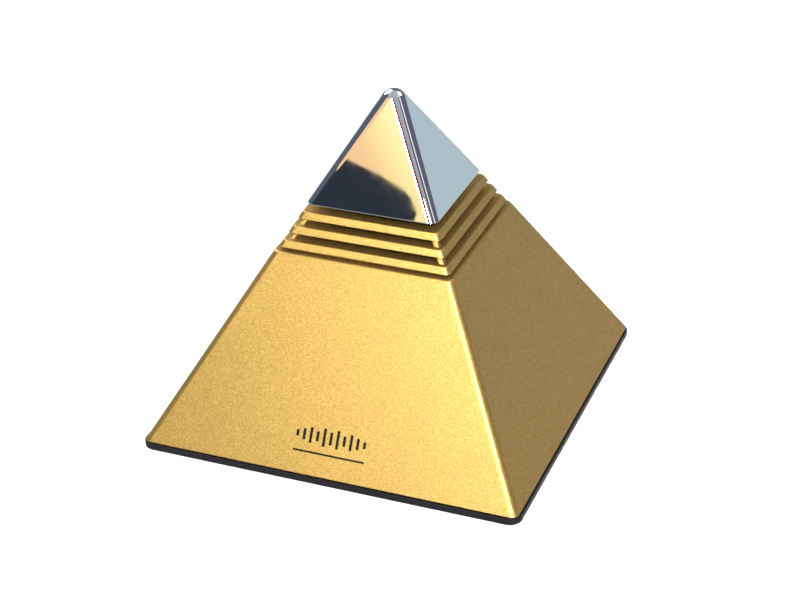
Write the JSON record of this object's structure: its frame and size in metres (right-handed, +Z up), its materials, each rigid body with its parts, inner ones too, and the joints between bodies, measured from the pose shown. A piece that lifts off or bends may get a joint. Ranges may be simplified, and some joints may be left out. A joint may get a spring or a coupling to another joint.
{
  "type": "talking clock",
  "caption": "Pyramid-shaped desk clock that speaks the time when its plated tip is pressed, with sound louvres below the tip and a display, keys and battery door underneath.",
  "frame": {"origin": "middle of the resting face, on the table", "axes": "+Z up through the tip; -Y towards the printed front face; battery door opens towards +Y"},
  "size_m": [0.105, 0.105, 0.09],
  "materials": {
    "gold_paint": "satin metallic gold lacquer over moulded plastic",
    "tip_plating": "bright mirror plating over moulded plastic",
    "black_plastic": "smooth half-gloss black moulding",
    "inner_plastic": "plain inner moulding",
    "spring_steel": "bare spring wire and strip",
    "plated_steel": "zinc or nickel plated",
    "circuit_board": "green solder mask over glass laminate",
    "dome_rubber": "translucent white silicone",
    "speaker_cloth": "fine black cloth",
    "speaker_basket": "grey painted pressed steel",
    "ferrite": "dark ground ferrite",
    "coil_copper": "lacquered copper winding",
    "cone_paper": "matte black pressed paper",
    "terminal_board": "tan paper laminate",
    "battery_jacket": "plain printed sleeve without lettering",
    "clear_window": "clear acrylic",
    "lcd_glass": "grey-green display glass",
    "lcd_foil": "matte reflector foil",
    "white_plastic": "plain white moulding",
    "zebra_rubber": "striped conductive rubber",
    "chip_resin": "black moulding compound",
    "capacitor_sleeve": "dark blue heat-shrunk sleeve",
    "passive_ceramic": "small ceramic parts",
    "foot_rubber": "dark grey rubber",
    "key_plastic": "mid grey moulding",
    "switch_steel": "pressed switch can",
    "wire_cover": "thin hook-up wire cover"
  },
  "bodies": {
    "case": {"body_shell": "gold_paint", "louvre_collar": "gold_paint", "return_spring": "spring_steel", "switch_board": "circuit_board", "switch_dome": "dome_rubber", "sound_screen": "speaker_cloth", "collar_screws": "plated_steel", "speaker_screws": "plated_steel", "speaker_frame": "speaker_basket", "speaker_top_plate": "plated_steel", "speaker_magnet": "ferrite", "speaker_yoke": "plated_steel", "speaker_surround": "speaker_cloth", "speaker_terminals": "terminal_board", "base_cover": "black_plastic", "battery_1": "battery_jacket", "battery_2": "battery_jacket", "positive_contact": "plated_steel", "negative_contact": "plated_steel", "series_contact": "plated_steel", "lcd_window": "clear_window", "lcd_glass": "lcd_glass", "lcd_reflector": "lcd_foil", "lcd_holder": "white_plastic", "zebra_strips": "zebra_rubber", "main_board": "circuit_board", "speech_chip": "chip_resin", "memory_chip": "chip_resin", "clock_chip": "chip_resin", "crystal": "plated_steel", "capacitors": "capacitor_sleeve", "transistors": "chip_resin", "board_passives": "passive_ceramic", "board_screws": "plated_steel", "case_screws": "plated_steel", "rubber_feet": "foot_rubber", "time_dome": "dome_rubber", "alarm_dome": "dome_rubber", "hour_dome": "dome_rubber", "minute_dome": "dome_rubber", "alarm_switch_body": "switch_steel", "chime_switch_body": "switch_steel", "speaker_leads": "wire_cover", "switch_leads": "wire_cover", "battery_leads": "wire_cover"},
    "tip": {"tip_cap": "tip_plating", "tip_plunger": "inner_plastic", "plunger_clip": "spring_steel"},
    "speaker_diaphragm": {"voice_coil": "coil_copper", "speaker_cone": "cone_paper", "speaker_dust_cap": "cone_paper"},
    "battery_door": {"battery_door": "black_plastic"},
    "time_key": {"time_key": "key_plastic"},
    "alarm_key": {"alarm_key": "key_plastic"},
    "hour_key": {"hour_key": "key_plastic"},
    "minute_key": {"minute_key": "key_plastic"},
    "alarm_knob": {"alarm_switch_knob": "key_plastic"},
    "chime_knob": {"chime_switch_knob": "key_plastic"}
  },
  "joints": [
    {"name": "tip_press", "type": "slide", "parent": "case", "child": "tip", "axis": [0, 0, -1], "range_m": [0, 0.0013], "stiffness_N_per_m": 900, "springref_m": -0.0012, "deforming": ["return_spring", "switch_dome"]},
    {"name": "diaphragm_travel", "type": "slide", "parent": "case", "child": "speaker_diaphragm", "axis": [0, 0, 1], "range_m": [-0.0004, 0.0004], "stiffness_N_per_m": 1000, "deforming": ["speaker_surround"]},
    {"name": "battery_door_slide", "type": "slide", "parent": "case", "child": "battery_door", "axis": [0, 1, 0], "range_m": [0, 0.05]},
    {"name": "time_key_press", "type": "slide", "parent": "case", "child": "time_key", "axis": [0, 0, 1], "range_m": [0, 0.0008], "stiffness_N_per_m": 400, "springref_m": -0.0006, "deforming": ["time_dome"]},
    {"name": "alarm_key_press", "type": "slide", "parent": "case", "child": "alarm_key", "axis": [0, 0, 1], "range_m": [0, 0.0008], "stiffness_N_per_m": 400, "springref_m": -0.0006, "deforming": ["alarm_dome"]},
    {"name": "hour_key_press", "type": "slide", "parent": "case", "child": "hour_key", "axis": [0, 0, 1], "range_m": [0, 0.0008], "stiffness_N_per_m": 400, "springref_m": -0.0006, "deforming": ["hour_dome"]},
    {"name": "minute_key_press", "type": "slide", "parent": "case", "child": "minute_key", "axis": [0, 0, 1], "range_m": [0, 0.0008], "stiffness_N_per_m": 400, "springref_m": -0.0006, "deforming": ["minute_dome"]},
    {"name": "alarm_switch_slide", "type": "slide", "parent": "case", "child": "alarm_knob", "axis": [1, 0, 0], "range_m": [0, 0.003]},
    {"name": "chime_switch_slide", "type": "slide", "parent": "case", "child": "chime_knob", "axis": [1, 0, 0], "range_m": [0, 0.003]}
  ]
}
